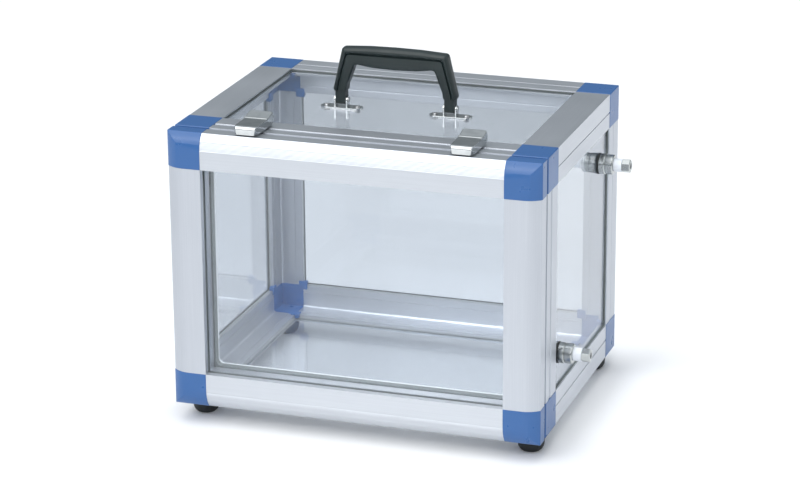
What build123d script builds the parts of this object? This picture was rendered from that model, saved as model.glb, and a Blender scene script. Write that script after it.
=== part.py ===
from build123d import *
import os

# Glass desiccator cabinet: an aluminium frame of L-shaped extrusions joined by moulded corners,
# five fixed glass panels, a lift-off front door, two top latches, a carrying handle and two gas ports.
# The origin is the bottom centre of the bounding box. +X is right, -Y is the door side, +Z is up.

os.makedirs("parts", exist_ok=True)

# --- driving dimensions, millimetres ---
WIDTH = 400.0  # frame, left to right
DEPTH = 310.0  # frame with its door, front to back
HEIGHT = 300.0  # frame, without the feet
FOOT_HEIGHT = 20.0
FACE = 38.0  # visible width of every extrusion and corner
ARM = 12.0  # thickness of an extrusion's two arms
WALL = 1.8  # extrusion wall
SKIN = 0.4  # how far the extrusions lie below the corners
DOOR_SPACE = 28.0  # door zone in front of the body
DOOR_THICK = 27.2
FIT = 0.2  # tenon and gasket clearance
TENON = 20.0
GLASS = 4.0
GLASS_RECESS = 3.2
SLOT_DEPTH = 10.0
SLOT_NEAR = 2.0  # slot walls, measured from the outer face
SLOT_FAR = 8.4
GLASS_ENTRY = 8.0  # glass inside the slot
DOOR_GLASS_NEAR = 9.2
BEND_START = 19.0  # width at which the door's front starts to curve back
BEND_DEPTH = 8.0
LATCH_SIDE = 85.0  # latch centre from each side
LATCH_WIDTH = 25.5
HINGE_SPREAD = 60.0  # handle pivots from the middle
HANDLE_Y = 150.0  # handle from the door's front
PORT_REACH = 35.0  # port length outside the glass
TUBE_RADIUS = 3.1
SCREW = 1.5

# --- planes of the cabinet ---
OVERHANG = PORT_REACH - GLASS_RECESS
LEFT = -(WIDTH + OVERHANG) / 2
RIGHT = LEFT + WIDTH
FRONT = -DEPTH / 2
BODY = FRONT + DOOR_SPACE
REAR = DEPTH / 2
BASE = FOOT_HEIGHT
TOP = BASE + HEIGHT
MIDDLE = (LEFT + RIGHT) / 2
PANE_TOP = TOP - GLASS_RECESS

X_DIR = Vector(1, 0, 0)
Y_DIR = Vector(0, 1, 0)
Z_DIR = Vector(0, 0, 1)


def save(piece, label):
    """Label a finished piece and write its STEP file."""
    piece.part.label = label
    export_step(piece.part, f"parts/{label}.step")


def block(low, high, mode=Mode.ADD):
    """A box between two corners, added to or cut from the part being built."""
    middle = [(a + b) / 2 for a, b in zip(low, high)]
    size = [abs(b - a) for a, b in zip(low, high)]
    with Locations(tuple(middle)):
        Box(*size, mode=mode)


def patch(x_span, y_span, mode=Mode.SUBTRACT):
    """A rectangle between two pairs of limits, in the sketch being built."""
    with Locations((sum(x_span) / 2, sum(y_span) / 2)):
        Rectangle(x_span[1] - x_span[0], y_span[1] - y_span[0], mode=mode)


def rod(origin, axis, radius, length, mode=Mode.ADD):
    """A round bar or hole that starts at origin and runs along axis."""
    with BuildSketch(Plane(origin=origin, z_dir=axis)) as section:
        Circle(radius)
    extrude(section.sketch, amount=length, mode=mode)


# --- body frame: twelve extrusions ---
def ell(near, far, thick, mode):
    """The L outline of an extrusion, or of its hollow: two equal arms along local x and y."""
    with BuildLine() as outline:
        Polyline(
            (near, near), (far, near), (far, thick), (thick, thick), (thick, far), (near, far), close=True
        )
    make_face(outline.edges(), mode=mode)


def frame_bar(label, ends, grooved, plain, slots, groove, holes=()):
    """An L extrusion between two points of its outer corner line.

    grooved and plain are the directions of its two arms, slots says which of them hold glass,
    and groove is the pair of distances that bounds the decorative groove on the first arm.
    holes are the tops of screw holes, drilled straight down.
    """
    axis = grooved.cross(plain)
    first, last = Vector(*ends[0]), Vector(*ends[1])
    start = first if (last - first).dot(axis) > 0 else last
    with BuildPart() as bar:
        with BuildSketch(Plane(origin=start, x_dir=grooved, z_dir=axis)):
            ell(SKIN, FACE, ARM, Mode.ADD)
            ell(WALL + SKIN, FACE - SLOT_DEPTH - WALL, ARM - WALL, Mode.SUBTRACT)
            if slots[0]:
                patch((FACE - SLOT_DEPTH, FACE), (SLOT_NEAR, SLOT_FAR))
            if slots[1]:
                patch((SLOT_NEAR, SLOT_FAR), (FACE - SLOT_DEPTH, FACE))
            patch(groove, (SKIN, SKIN + 0.8))
            patch((FACE - 8.6, FACE - 7.8), (ARM - 0.7, ARM))
            patch((ARM - 0.7, ARM), (FACE - 8.6, FACE - 7.8))
        extrude(amount=(last - first).length)
        for hole in holes:
            rod(hole, -Z_DIR, SCREW, 5.0, Mode.SUBTRACT)
    save(bar, label)


SIDE_GROOVE = (20.0, 21.2)
FRONT_GROOVE = (11.0, 17.5)
BOTH = (True, True)
REAR_ARM_ONLY = (True, False)

for side, x, inward in (("left", LEFT, X_DIR), ("right", RIGHT, -X_DIR)):
    long_ends = (BODY + FACE, REAR - FACE)
    for level, z, upward in (("bottom", BASE, Z_DIR), ("top", TOP, -Z_DIR)):
        ends = [(x, y, z) for y in long_ends]
        frame_bar(f"{level}_{side}_beam", ends, upward, inward, BOTH, SIDE_GROOVE)
    tall_ends = (BASE + FACE, TOP - FACE)
    ends = [(x, REAR, z) for z in tall_ends]
    frame_bar(f"rear_{side}_post", ends, -Y_DIR, inward, BOTH, SIDE_GROOVE)
    ends = [(x, BODY, z) for z in tall_ends]
    frame_bar(f"front_{side}_post", ends, Y_DIR, inward, REAR_ARM_ONLY, FRONT_GROOVE)

LATCHES = (LEFT + LATCH_SIDE, RIGHT - LATCH_SIDE)
LATCH_SCREW_Y = BODY + 18.0
LATCH_SCREW_X = 6.5
LATCH_HOLES = [(x + s * LATCH_SCREW_X, LATCH_SCREW_Y, TOP + 1) for x in LATCHES for s in (-1, 1)]

for level, z, inward in (("bottom", BASE, Z_DIR), ("top", TOP, -Z_DIR)):
    ends = [(x, REAR, z) for x in (LEFT + FACE, RIGHT - FACE)]
    frame_bar(f"{level}_rear_beam", ends, -Y_DIR, inward, BOTH, SIDE_GROOVE)
    ends = [(x, BODY, z) for x in (LEFT + FACE, RIGHT - FACE)]
    holes = LATCH_HOLES if level == "top" else ()
    frame_bar(f"{level}_front_beam", ends, Y_DIR, inward, REAR_ARM_ONLY, FRONT_GROOVE, holes)

# --- eight moulded corners ---
FOOT_X = 20.0
FOOT_FRONT = 16.0
FOOT_REAR = 20.0
FOOT_RADIUS = 14.5
STEM = (3.0, 8.0)  # foot stem radius and length
DOWEL = 19.0  # door dowel from the corner's sides
DOWEL_RADIUS = 2.5
DOWEL_GAP = 0.08
LUG = 4.8  # lug reach each way from the bars' inner edges


def corner(label, vertex, signs, front):
    """A moulded corner: three walls round the glass corners, a lug on each, and three L tenons."""

    def box(low, high, mode=Mode.ADD):
        places = [[v + s * d for v, s, d in zip(vertex, signs, point)] for point in (low, high)]
        block(*places, mode)

    with BuildPart() as moulding:
        box((0, 0, 0), (FACE, FACE, FACE))
        box((ARM, ARM, ARM), (FACE, FACE, FACE), Mode.SUBTRACT)
        tip = Vertex(*vertex)
        fillet(moulding.edges().filter_by(lambda edge: edge.distance_to(tip) < 0.01), radius=1.2)
        near, far = WALL + SKIN + FIT, FACE - SLOT_DEPTH - WALL - FIT
        thin = ARM - WALL - FIT
        for axis in range(3):
            across = [i for i in range(3) if i != axis]
            for wide in across:
                low, high = [near] * 3, [thin] * 3
                low[axis], high[axis] = FACE, FACE + TENON
                high[wide] = far
                box(low, high)
            if axis == 1 and front:
                continue
            low, high = [FACE - SLOT_DEPTH] * 3, [FACE] * 3
            low[axis], high[axis] = SLOT_NEAR, SLOT_FAR
            box(low, high, Mode.SUBTRACT)
            low, high = [FACE - LUG] * 3, [FACE + LUG] * 3
            low[axis], high[axis] = ARM, ARM + 1.5
            box(low, high)
            low, high = [FACE + FIT] * 3, [FACE + LUG] * 3
            low[axis], high[axis] = SLOT_FAR, ARM
            box(low, high)
        if vertex[2] == BASE:
            foot_y = FOOT_FRONT if front else FOOT_REAR
            place = (vertex[0] + signs[0] * FOOT_X, vertex[1] + signs[1] * foot_y, BASE)
            rod(place, Z_DIR, STEM[0], STEM[1], Mode.SUBTRACT)
            if front:
                place = (vertex[0] + signs[0] * DOWEL, BODY, BASE + DOWEL)
                rod(place, Y_DIR, DOWEL_RADIUS + DOWEL_GAP, 8.0, Mode.SUBTRACT)
    save(moulding, label)


for side, x, sx in (("left", LEFT, 1), ("right", RIGHT, -1)):
    for place, y, sy in (("front", BODY, 1), ("rear", REAR, -1)):
        for level, z, sz in (("bottom", BASE, 1), ("top", TOP, -1)):
            corner(f"{level}_{place}_{side}_corner", (x, y, z), (sx, sy, sz), place == "front")

# --- fixed glass panels and their rubber channels ---
GLASS_EDGE = FACE - GLASS_ENTRY
RUBBER_EDGE = FACE - SLOT_DEPTH + FIT
RUBBER_LIP = FACE + 0.3
RUBBER_NEAR = SLOT_NEAR + 0.1
RUBBER_FAR = SLOT_FAR - 0.1
LOW = (LEFT, BODY, BASE)
HIGH = (RIGHT, REAR, TOP)
PORTS = ((FRONT + 84.0, BASE + 74.0), (FRONT + 240.0, BASE + 232.0))
PORT_STUB = 5.9
HANDLE_CENTRE = FRONT + HANDLE_Y
HINGES = (MIDDLE - HINGE_SPREAD, MIDDLE + HINGE_SPREAD)
SADDLE_SCREW = 17.0


def sheet(axis, sign, edge, near, far, mode=Mode.ADD):
    """A rectangular layer parallel to one side of the cabinet, edge in from its outline."""
    low = [value + edge for value in LOW]
    high = [value - edge for value in HIGH]
    face = LOW[axis] if sign > 0 else HIGH[axis]
    low[axis], high[axis] = face + sign * near, face + sign * far
    block(low, high, mode)


def channel(axis, sign):
    """The rubber channel round one panel."""
    sheet(axis, sign, RUBBER_EDGE, RUBBER_NEAR, RUBBER_FAR)
    sheet(axis, sign, RUBBER_LIP, RUBBER_NEAR - 1, RUBBER_FAR + 1, Mode.SUBTRACT)
    sheet(axis, sign, GLASS_EDGE, GLASS_RECESS, GLASS_RECESS + GLASS, Mode.SUBTRACT)


PANELS = (("left_glass", 0, 1), ("right_glass", 0, -1), ("rear_glass", 1, -1), ("floor_glass", 2, 1))
for label, axis, sign in PANELS:
    with BuildPart() as panel:
        sheet(axis, sign, GLASS_EDGE, GLASS_RECESS, GLASS_RECESS + GLASS)
        if label == "right_glass":
            for y, z in PORTS:
                rod((RIGHT, y, z), -X_DIR, PORT_STUB + 0.1, ARM, Mode.SUBTRACT)
    save(panel, label)

with BuildPart() as top_glass:
    sheet(2, -1, GLASS_EDGE, GLASS_RECESS, GLASS_RECESS + GLASS)
    for x in HINGES:
        for aside in (-SADDLE_SCREW, SADDLE_SCREW):
            rod((x + aside, HANDLE_CENTRE, TOP), -Z_DIR, SCREW + 0.5, ARM, Mode.SUBTRACT)
save(top_glass, "top_glass")

GASKETS = (
    ("wall_gaskets", ((0, 1), (0, -1), (1, -1))),
    ("top_gasket", ((2, -1),)),
    ("floor_gasket", ((2, 1),)),
)
for label, sides in GASKETS:
    rings = []
    for axis, sign in sides:
        with BuildPart() as ring:
            channel(axis, sign)
        rings.append(ring.part)
    with BuildPart() as gaskets:
        add(rings)
    save(gaskets, label)

# --- feet: domed rubber buffers with a press-in stem ---
with BuildPart() as feet:
    for x in (LEFT + FOOT_X, RIGHT - FOOT_X):
        for y in (BODY + FOOT_FRONT, REAR - FOOT_REAR):
            with BuildSketch(Plane(origin=(x, y, 0), x_dir=X_DIR, z_dir=-Y_DIR)):
                with BuildLine():
                    dome = ThreePointArc((9.5, 0), (13.3, 4.8), (FOOT_RADIUS, 12.0))
                    Polyline(
                        dome @ 1,
                        (FOOT_RADIUS, FOOT_HEIGHT),
                        (STEM[0], FOOT_HEIGHT),
                        (STEM[0], FOOT_HEIGHT + STEM[1]),
                        (0, FOOT_HEIGHT + STEM[1]),
                        (0, 0),
                        dome @ 0,
                    )
                make_face()
            revolve(axis=Axis((x, y, 0), (0, 0, 1)))
save(feet, "feet")

# --- door: four curved bars, four moulded corners, glass, rubber channel and dowels ---
BEND_RADIUS = (BEND_DEPTH**2 + BEND_START**2) / (2 * BEND_DEPTH)
RIB_STEP = 2.64  # degrees between the fine ribs on the curved zone
RIB_COUNT = 9
HOLLOW_D = (4.6, DOOR_THICK - 2.4)
HOLLOW_W = (7.2, FACE - SLOT_DEPTH - WALL)
DOOR_SLOT = (DOOR_GLASS_NEAR - 1.2, DOOR_GLASS_NEAR + GLASS + 1.2)
KEEPER_RIVET_X = 6.0
KEEPER_RIVET_Y = FRONT + 20.0
RIVET = 1.2


def door_outline():
    """Section of the door frame: local x is depth from the front, local y width from the outside."""
    with BuildLine() as outline:
        Polyline(
            (0, BEND_START),
            (0, FACE),
            (DOOR_THICK, FACE),
            (DOOR_THICK, 3),
            (DOOR_THICK - 4, 0),
            (BEND_DEPTH, 0),
        )
        TangentArc((0, BEND_START), (BEND_DEPTH, 0), tangent=(0, -1))
    make_face(outline.edges())


def door_bar(label, ends, inward, ribbed):
    """A hollow door bar between two points of its outer front edge."""
    axis = Y_DIR.cross(inward)
    first, last = Vector(*ends[0]), Vector(*ends[1])
    start = first if (last - first).dot(axis) > 0 else last
    with BuildPart() as bar:
        with BuildSketch(Plane(origin=start, x_dir=Y_DIR, z_dir=axis)):
            door_outline()
            offset(amount=-SKIN, kind=Kind.INTERSECTION)
            patch(HOLLOW_D, HOLLOW_W)
            patch(DOOR_SLOT, (FACE - SLOT_DEPTH, FACE))
            if ribbed:
                spread = RIB_STEP * (RIB_COUNT - 1)
                with Locations((BEND_RADIUS, BEND_START)):
                    with PolarLocations(BEND_RADIUS - SKIN, RIB_COUNT, 183, spread, endpoint=True):
                        Circle(0.35, mode=Mode.SUBTRACT)
        extrude(amount=(last - first).length)
        if label == "door_top_rail":
            for x in LATCHES:
                for across in (-KEEPER_RIVET_X, KEEPER_RIVET_X):
                    rod((x + across, KEEPER_RIVET_Y, TOP + 1), -Z_DIR, RIVET, 6.0, Mode.SUBTRACT)
    save(bar, label)


for side, x, inward in (("left", LEFT, X_DIR), ("right", RIGHT, -X_DIR)):
    ends = [(x, FRONT, z) for z in (BASE + FACE, TOP - FACE)]
    door_bar(f"door_{side}_stile", ends, inward, False)
for level, z, inward in (("bottom", BASE, Z_DIR), ("top", TOP, -Z_DIR)):
    ends = [(x, FRONT, z) for x in (LEFT + FACE, RIGHT - FACE)]
    door_bar(f"door_{level}_rail", ends, inward, True)


def door_corner(label, x, sx, z, sz):
    """A moulded door corner: the two curved sections meet in a mitre, with a tenon into each bar."""
    with BuildPart() as moulding:
        with BuildSketch(Plane(origin=(x, FRONT, z), x_dir=Y_DIR, z_dir=X_DIR * sz)):
            door_outline()
        extrude(amount=FACE * sx * sz)
        with BuildSketch(Plane(origin=(x, FRONT, z), x_dir=Y_DIR, z_dir=Z_DIR * -sx)):
            door_outline()
        extrude(amount=-FACE * sx * sz, mode=Mode.INTERSECT)
        depth = (FRONT + HOLLOW_D[0] + FIT, FRONT + HOLLOW_D[1] - FIT)
        across = (HOLLOW_W[0] + FIT, HOLLOW_W[1] - FIT)
        reach = (FACE, FACE + TENON)
        for wide, tall in ((reach, across), (across, reach)):
            low = (x + sx * wide[0], depth[0], z + sz * tall[0])
            block(low, (x + sx * wide[1], depth[1], z + sz * tall[1]))
        pocket = (FACE - SLOT_DEPTH, FACE)
        block(
            (x + sx * pocket[0], FRONT + DOOR_SLOT[0], z + sz * pocket[0]),
            (x + sx * pocket[1], FRONT + DOOR_SLOT[1], z + sz * pocket[1]),
            Mode.SUBTRACT,
        )
        if z == BASE:
            rod((x + sx * DOWEL, FRONT + DOOR_THICK, z + DOWEL), -Y_DIR, DOWEL_RADIUS, 6.0, Mode.SUBTRACT)
    save(moulding, label)


for side, x, sx in (("left", LEFT, 1), ("right", RIGHT, -1)):
    for level, z, sz in (("bottom", BASE, 1), ("top", TOP, -1)):
        door_corner(f"door_{level}_{side}_corner", x, sx, z, sz)

with BuildPart() as door_glass:
    block(
        (LEFT + GLASS_EDGE, FRONT + DOOR_GLASS_NEAR, BASE + GLASS_EDGE),
        (RIGHT - GLASS_EDGE, FRONT + DOOR_GLASS_NEAR + GLASS, TOP - GLASS_EDGE),
    )
save(door_glass, "door_glass")


def door_layer(edge, depth, mode=Mode.ADD):
    """A rectangular layer of the door, edge in from its outline."""
    low = (LEFT + edge, FRONT + depth[0], BASE + edge)
    block(low, (RIGHT - edge, FRONT + depth[1], TOP - edge), mode)


with BuildPart() as door_gasket:
    door_layer(RUBBER_EDGE, (DOOR_SLOT[0] + 0.1, DOOR_SLOT[1] - 0.1))
    door_layer(RUBBER_LIP, (0, DOOR_THICK), Mode.SUBTRACT)
    door_layer(GLASS_EDGE, (DOOR_GLASS_NEAR, DOOR_GLASS_NEAR + GLASS), Mode.SUBTRACT)
save(door_gasket, "door_gasket")

with BuildPart() as door_dowels:
    for x in (LEFT + DOWEL, RIGHT - DOWEL):
        with BuildSketch(Plane(origin=(x, FRONT + DOOR_THICK - 6.0, BASE + DOWEL), z_dir=Y_DIR)):
            Circle(DOWEL_RADIUS)
        extrude(amount=13.0)
    chamfer(door_dowels.faces().sort_by(Axis.Y)[-2:].edges(), length=0.8)
save(door_dowels, "door_dowels")

# Rubber seal that edges the body's front opening, with a flange that the door presses on.
SEAL = 1.6
OPENING = (WIDTH - 2 * FACE, HEIGHT - 2 * FACE)
with BuildPart() as door_seal:
    middle_z = (BASE + TOP) / 2
    with BuildSketch(Plane(origin=(MIDDLE, BODY - 0.5, middle_z), x_dir=-X_DIR, z_dir=Y_DIR)):
        RectangleRounded(OPENING[0] + 14, OPENING[1] + 14, 3)
        RectangleRounded(OPENING[0] - 2 * SEAL, OPENING[1] - 2 * SEAL, 6, mode=Mode.SUBTRACT)
    extrude(amount=0.5)
    with BuildSketch(Plane(origin=(MIDDLE, BODY, middle_z), x_dir=-X_DIR, z_dir=Y_DIR)):
        Rectangle(*OPENING)
        RectangleRounded(OPENING[0] - 2 * SEAL, OPENING[1] - 2 * SEAL, 6, mode=Mode.SUBTRACT)
    extrude(amount=10.0)
save(door_seal, "door_seal")

# --- latches: a hinged cover whose rolled front drops before a keeper on the door ---
PLATE = 1.4
PIVOT_Y = FRONT + 54.0
PIVOT_Z = TOP + 6.5
LATCH_PIN = 1.5
LEVER_FRONT = FRONT + 8.5
EAR = 11.0  # outer half width of the base

with BuildPart() as latch_bases:
    for x in LATCHES:
        block((x - EAR, BODY + 13.5, TOP - SKIN), (x + EAR, PIVOT_Y + 3.0, TOP + 1.1))
        for sign in (-1, 1):
            block((x + sign * EAR, PIVOT_Y - 2.6, TOP), (x + sign * (EAR - PLATE), PIVOT_Y + 2.6, PIVOT_Z))
            rod((x + sign * EAR, PIVOT_Y, PIVOT_Z), X_DIR * -sign, 2.6, PLATE)
            rod((x + sign * (EAR + 1), PIVOT_Y, PIVOT_Z), X_DIR * -sign, LATCH_PIN, 4.0, Mode.SUBTRACT)
            rod((x + sign * LATCH_SCREW_X, LATCH_SCREW_Y, TOP + 2), -Z_DIR, SCREW, 4.0, Mode.SUBTRACT)
save(latch_bases, "latch_bases")

with BuildPart() as latch_pins:
    for x in LATCHES:
        rod((x - LATCH_WIDTH / 2, PIVOT_Y, PIVOT_Z), X_DIR, LATCH_PIN, LATCH_WIDTH)
save(latch_pins, "latch_pins")

for side, x in zip(("left", "right"), LATCHES):
    with BuildPart() as lever:
        # side view of the cover, flanges included
        with BuildSketch(Plane(origin=(x - LATCH_WIDTH / 2, FRONT, TOP), x_dir=Y_DIR, z_dir=X_DIR)):
            with BuildLine():
                roll = ThreePointArc((8.5, 6.0), (9.7, 8.9), (12.6, 10.0))
                crest = Line(roll @ 1, (42.0, 10.6))
                tab = Line(crest @ 1, (57.5, 14.2))
                Polyline(tab @ 1, (57.9, 12.9), (59.0, 8.0), (56.5, 2.2), (50.0, 1.2), (8.5, 1.2), roll @ 0)
            make_face()
        extrude(amount=LATCH_WIDTH)
        # the hollow under the plate
        inner = LATCH_WIDTH / 2 - PLATE
        with BuildSketch(Plane(origin=(x - inner, FRONT, TOP), x_dir=Y_DIR, z_dir=X_DIR)):
            with BuildLine():
                Polyline(
                    (8.5 + PLATE, 0),
                    (8.5 + PLATE, 7.0),
                    (12.0, 8.6),
                    (41.8, 9.2),
                    (56.0, 12.5),
                    (62.0, 12.5),
                    (62.0, 0),
                    close=True,
                )
            make_face()
        extrude(amount=2 * inner, mode=Mode.SUBTRACT)
        rod((x - LATCH_WIDTH, PIVOT_Y, PIVOT_Z), X_DIR, LATCH_PIN + 0.06, 2 * LATCH_WIDTH, Mode.SUBTRACT)
    save(lever, f"{side}_latch_lever")

with BuildPart() as latch_keepers:
    for x in LATCHES:
        block((x - 9, FRONT + 14, TOP - SKIN), (x + 9, FRONT + 24, TOP + 0.8))
        block((x - 9, FRONT + 14, TOP), (x + 9, FRONT + 15.2, TOP + 2.8))
        for across in (-KEEPER_RIVET_X, KEEPER_RIVET_X):
            rod((x + across, KEEPER_RIVET_Y, TOP + 1), -Z_DIR, RIVET, 3.0, Mode.SUBTRACT)
save(latch_keepers, "latch_keepers")

with BuildPart() as keeper_rivets:
    for x in LATCHES:
        for across in (-KEEPER_RIVET_X, KEEPER_RIVET_X):
            rod((x + across, KEEPER_RIVET_Y, TOP + 0.8), -Z_DIR, RIVET, 5.0)
            rod((x + across, KEEPER_RIVET_Y, TOP + 0.8), Z_DIR, 2.2, 0.9)
save(keeper_rivets, "keeper_rivets")

# --- carrying handle: two saddles on the top glass, hinge pins and a moulded grip ---
HINGE_Z = PANE_TOP + 9.0
HINGE_PIN = 2.0
TANG = 11.0
HINGE_EAR = 1.5
SADDLE = (46.5, 14.0, 1.5)
EAR_RADIUS = 4.4

for side, x in zip(("left", "right"), HINGES):
    with BuildPart() as saddle:
        with BuildSketch(Plane.XY.offset(PANE_TOP)):
            with Locations((x, HANDLE_CENTRE)):
                SlotOverall(SADDLE[0], SADDLE[1])
        extrude(amount=SADDLE[2])
        for sign in (-1, 1):
            near = x + sign * (TANG / 2 + 0.3)
            far = near + sign * HINGE_EAR
            low = (near, HANDLE_CENTRE - EAR_RADIUS, PANE_TOP + 1)
            block(low, (far, HANDLE_CENTRE + EAR_RADIUS, HINGE_Z))
            rod((near, HANDLE_CENTRE, HINGE_Z), X_DIR * sign, EAR_RADIUS, HINGE_EAR)
            rod((near - sign, HANDLE_CENTRE, HINGE_Z), X_DIR * sign, HINGE_PIN, 4.0, Mode.SUBTRACT)
            rod((x + sign * SADDLE_SCREW, HANDLE_CENTRE, PANE_TOP), Z_DIR, SCREW, 4.0, Mode.SUBTRACT)
    save(saddle, f"{side}_handle_saddle")

with BuildPart() as handle_pins:
    for x in HINGES:
        half = TANG / 2 + 0.3 + HINGE_EAR
        rod((x - half, HANDLE_CENTRE, HINGE_Z), X_DIR, HINGE_PIN, 2 * half)
        for sign in (-1, 1):
            rod((x + sign * half, HANDLE_CENTRE, HINGE_Z), X_DIR * sign, 3.0, 1.0)
save(handle_pins, "handle_pins")

LEG_LOW = PANE_TOP + 20.0
GRIP_TOP = PANE_TOP + 68.0
GRIP_UNDER = PANE_TOP + 47.5
with BuildPart() as handle_grip:
    # legs and bar seen from the front
    with BuildSketch(Plane(origin=(MIDDLE, HANDLE_CENTRE, 0), x_dir=X_DIR, z_dir=-Y_DIR)):
        with BuildLine():
            crown = ThreePointArc((-55.0, GRIP_TOP - 1.5), (0, GRIP_TOP + 1.0), (55.0, GRIP_TOP - 1.5))
            right_leg = Polyline(
                crown @ 1,
                (58.0, GRIP_TOP - 4.0),
                (68.0, LEG_LOW),
                (52.5, LEG_LOW),
                (43.5, GRIP_UNDER + 2.0),
            )
            under = ThreePointArc(right_leg @ 1, (0, GRIP_UNDER - 1.5), (-43.5, GRIP_UNDER + 2.0))
            Polyline(under @ 1, (-52.5, LEG_LOW), (-68.0, LEG_LOW), (-58.0, GRIP_TOP - 4.0), crown @ 0)
        make_face()
    extrude(amount=8.0, both=True)
    fillet(handle_grip.edges().filter_by(Axis.Y).sort_by(Axis.Z)[-4:], radius=2.5)
    # the tangs that turn on the hinge pins
    for x in HINGES:
        block((x - TANG / 2, HANDLE_CENTRE - 5, HINGE_Z), (x + TANG / 2, HANDLE_CENTRE + 5, LEG_LOW + 4))
        rod((x - TANG / 2, HANDLE_CENTRE, HINGE_Z), X_DIR, 5.0, TANG)
        rod((x - TANG, HANDLE_CENTRE, HINGE_Z), X_DIR, HINGE_PIN + 0.06, 2 * TANG, Mode.SUBTRACT)
save(handle_grip, "handle_grip")

# Screws of the saddles and the latch bases, with the nuts under the glass.
with BuildPart() as top_screws:
    for x in HINGES:
        for sign in (-1, 1):
            place = (x + sign * SADDLE_SCREW, HANDLE_CENTRE, PANE_TOP + SADDLE[2])
            rod(place, -Z_DIR, SCREW, 10.0)
            rod(place, Z_DIR, 2.8, 1.6)
    for x in LATCHES:
        for sign in (-1, 1):
            place = (x + sign * LATCH_SCREW_X, LATCH_SCREW_Y, TOP + 1.1)
            rod(place, -Z_DIR, SCREW, 5.0)
            rod(place, Z_DIR, 2.5, 1.2)
save(top_screws, "top_screws")

with BuildPart() as handle_nuts:
    for x in HINGES:
        for sign in (-1, 1):
            place = (x + sign * SADDLE_SCREW, HANDLE_CENTRE, PANE_TOP - GLASS)
            with BuildSketch(Plane(origin=place, z_dir=-Z_DIR)):
                RegularPolygon(3.2, 6, major_radius=True)
                Circle(SCREW, mode=Mode.SUBTRACT)
            extrude(amount=3.0)
save(handle_nuts, "handle_nuts")

# --- gas ports through the right glass ---
PORT_RADIUS = 11.0
WASHER = 2.0
PORT_BODY = 15.0
COLLAR = 9.0
NUT = 9.0
PASSAGE = 1.5
SPIGOT = 4.6
LOCKNUT = 12.0
PORT_X = RIGHT - GLASS_RECESS

for side, (y, z) in zip(("lower", "upper"), PORTS):
    with BuildPart() as port_body:
        with BuildSketch(Plane(origin=(PORT_X, y, z), x_dir=X_DIR, z_dir=-Y_DIR)):
            with BuildLine():
                Polyline(
                    (-GLASS - LOCKNUT - 1.0, PASSAGE),
                    (-GLASS - LOCKNUT - 1.0, PORT_STUB),
                    (WASHER, PORT_STUB),
                    (WASHER, PORT_RADIUS),
                    (7.6, PORT_RADIUS),
                    (8.4, PORT_RADIUS - 1.2),
                    (9.2, PORT_RADIUS - 0.4),
                    (WASHER + PORT_BODY - 1.0, PORT_RADIUS - 0.4),
                    (WASHER + PORT_BODY, PORT_RADIUS - 1.4),
                    (WASHER + PORT_BODY, PASSAGE),
                    close=True,
                )
            make_face()
        revolve(axis=Axis((PORT_X, y, z), (1, 0, 0)))
    save(port_body, f"{side}_port_body")
    with BuildPart() as port_nut:
        with BuildSketch(Plane(origin=(PORT_X + PORT_REACH, y, z), z_dir=-X_DIR)):
            RegularPolygon(7.4, 6, major_radius=True)
        extrude(amount=NUT - 0.2)
        rod((PORT_X + PORT_REACH, y, z), -X_DIR, TUBE_RADIUS, NUT, Mode.SUBTRACT)
        rod((PORT_X + PORT_REACH - 2.0, y, z), -X_DIR, SPIGOT + 0.06, NUT, Mode.SUBTRACT)
        chamfer(port_nut.faces().sort_by(Axis.X)[-1].outer_wire().edges(), length=0.7)
    save(port_nut, f"{side}_port_nut")

with BuildPart() as port_washers:
    for y, z in PORTS:
        with BuildSketch(Plane(origin=(PORT_X, y, z), z_dir=X_DIR)):
            Circle(PORT_RADIUS + 0.4)
            Circle(PORT_STUB + 0.1, mode=Mode.SUBTRACT)
        extrude(amount=WASHER)
save(port_washers, "port_washers")

with BuildPart() as port_locknuts:
    for y, z in PORTS:
        with BuildSketch(Plane(origin=(PORT_X - GLASS, y, z), z_dir=-X_DIR)):
            RegularPolygon(PORT_RADIUS, 6, major_radius=True)
            Circle(PORT_STUB, mode=Mode.SUBTRACT)
        extrude(amount=LOCKNUT)
save(port_locknuts, "port_locknuts")

with BuildPart() as port_collars:
    for y, z in PORTS:
        place = Vector(PORT_X + WASHER + PORT_BODY, y, z)
        rod(place, X_DIR, 7.0, COLLAR)
        rod(place, X_DIR, SPIGOT, COLLAR + NUT - 2.4)
        rod(place + X_DIR * 3.0, X_DIR, TUBE_RADIUS, COLLAR + NUT, Mode.SUBTRACT)
        rod(place, X_DIR, PASSAGE, COLLAR, Mode.SUBTRACT)
save(port_collars, "port_collars")
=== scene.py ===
import math

import bmesh
import bpy
from mathutils import Matrix, Vector


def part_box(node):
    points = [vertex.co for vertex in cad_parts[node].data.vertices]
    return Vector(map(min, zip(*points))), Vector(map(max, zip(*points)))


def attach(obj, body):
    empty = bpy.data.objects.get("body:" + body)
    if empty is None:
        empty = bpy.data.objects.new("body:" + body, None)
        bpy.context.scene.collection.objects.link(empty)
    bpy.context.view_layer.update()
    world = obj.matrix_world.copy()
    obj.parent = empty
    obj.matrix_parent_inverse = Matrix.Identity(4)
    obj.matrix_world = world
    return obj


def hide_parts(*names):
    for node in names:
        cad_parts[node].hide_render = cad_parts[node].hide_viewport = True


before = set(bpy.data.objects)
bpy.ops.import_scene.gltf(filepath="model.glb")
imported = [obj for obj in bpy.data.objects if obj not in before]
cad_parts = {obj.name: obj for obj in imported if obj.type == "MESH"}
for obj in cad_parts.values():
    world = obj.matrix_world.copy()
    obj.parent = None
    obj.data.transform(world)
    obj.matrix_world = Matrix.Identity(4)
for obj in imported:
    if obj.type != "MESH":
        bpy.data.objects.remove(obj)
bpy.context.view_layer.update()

# --- Camera ---
# A long lens about three metres away, a little to the right of the cabinet and above it, so that the
# door, the right side and the top all show.
MM = 0.001
CAMERA_PLACE = (0.9193, -2.7884, 1.1612)
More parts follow.
